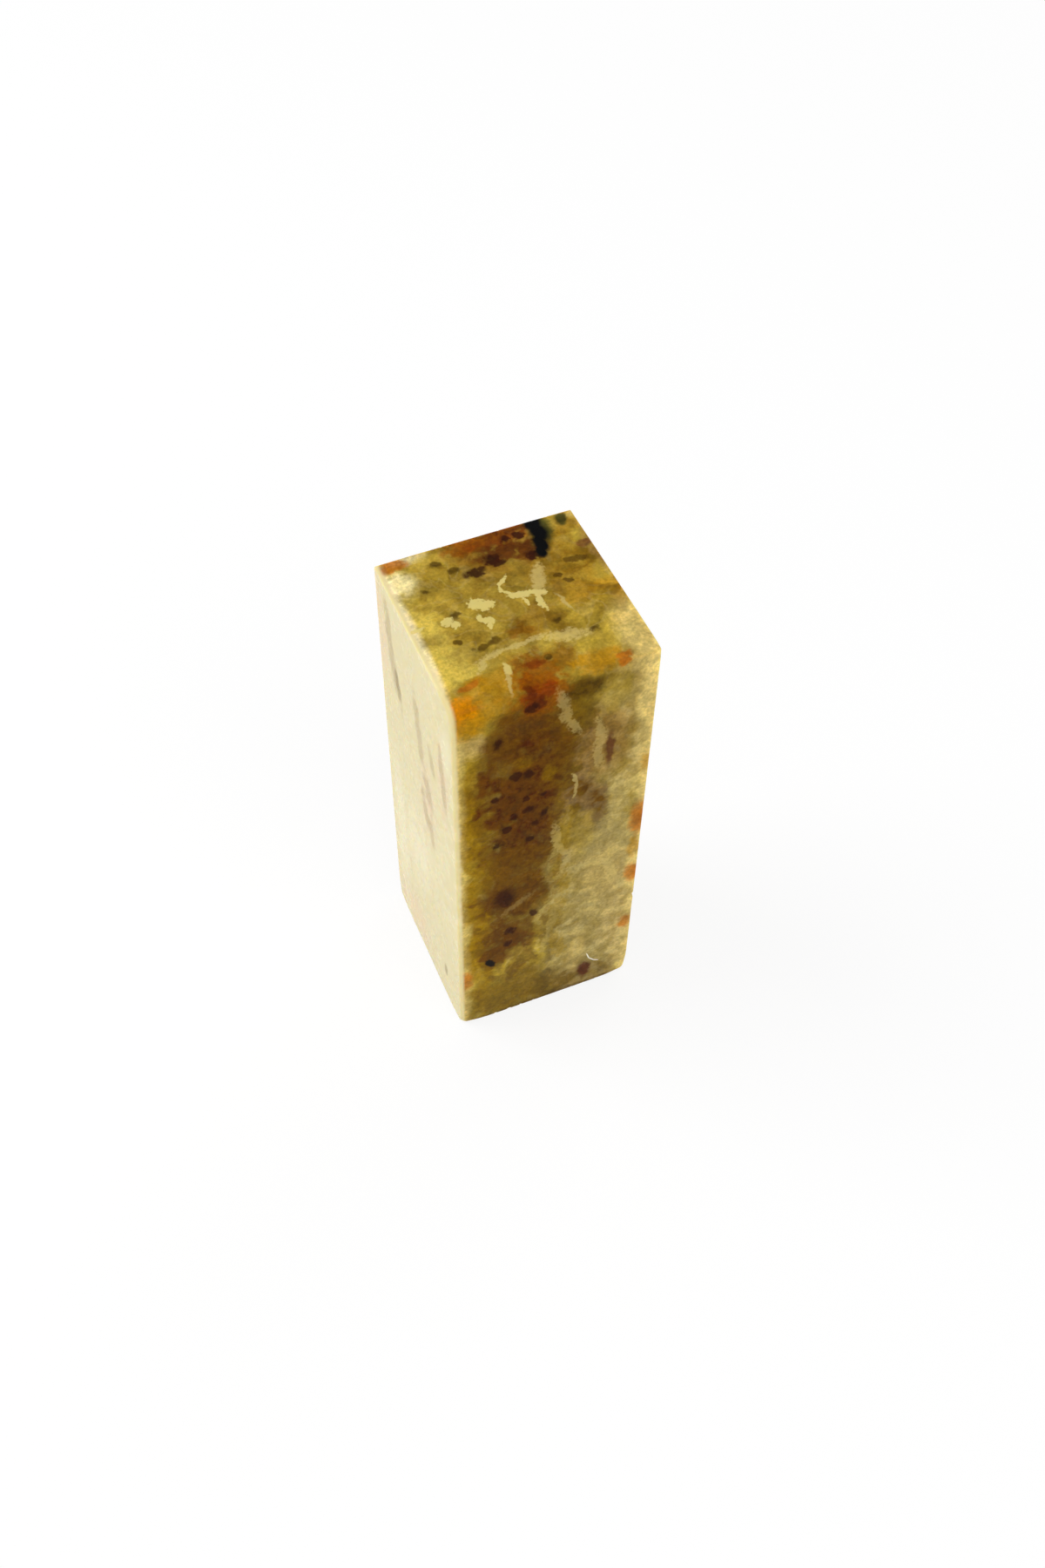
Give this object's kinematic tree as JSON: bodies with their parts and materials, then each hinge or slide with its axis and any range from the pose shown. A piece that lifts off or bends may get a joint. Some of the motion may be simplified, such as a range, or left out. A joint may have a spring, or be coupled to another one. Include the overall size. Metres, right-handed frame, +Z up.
{
  "type": "seal stamp",
  "caption": "Upright square block of polished natural soapstone with a plain top and a carved pattern cut into the face it stands on, for printing with seal paste.",
  "frame": {"origin": "middle of the carved sealing face, on the surface the seal stands on", "axes": "+Z up the stone, square to the sealing face; X and Y square to the four sides; -Y is the front, and the slanted top rises towards +X and +Y"},
  "size_m": [0.02, 0.02, 0.0508],
  "materials": {
    "soapstone": "polished"
  },
  "bodies": {
    "root": {"seal_stone": "soapstone"}
  },
  "joints": []
}
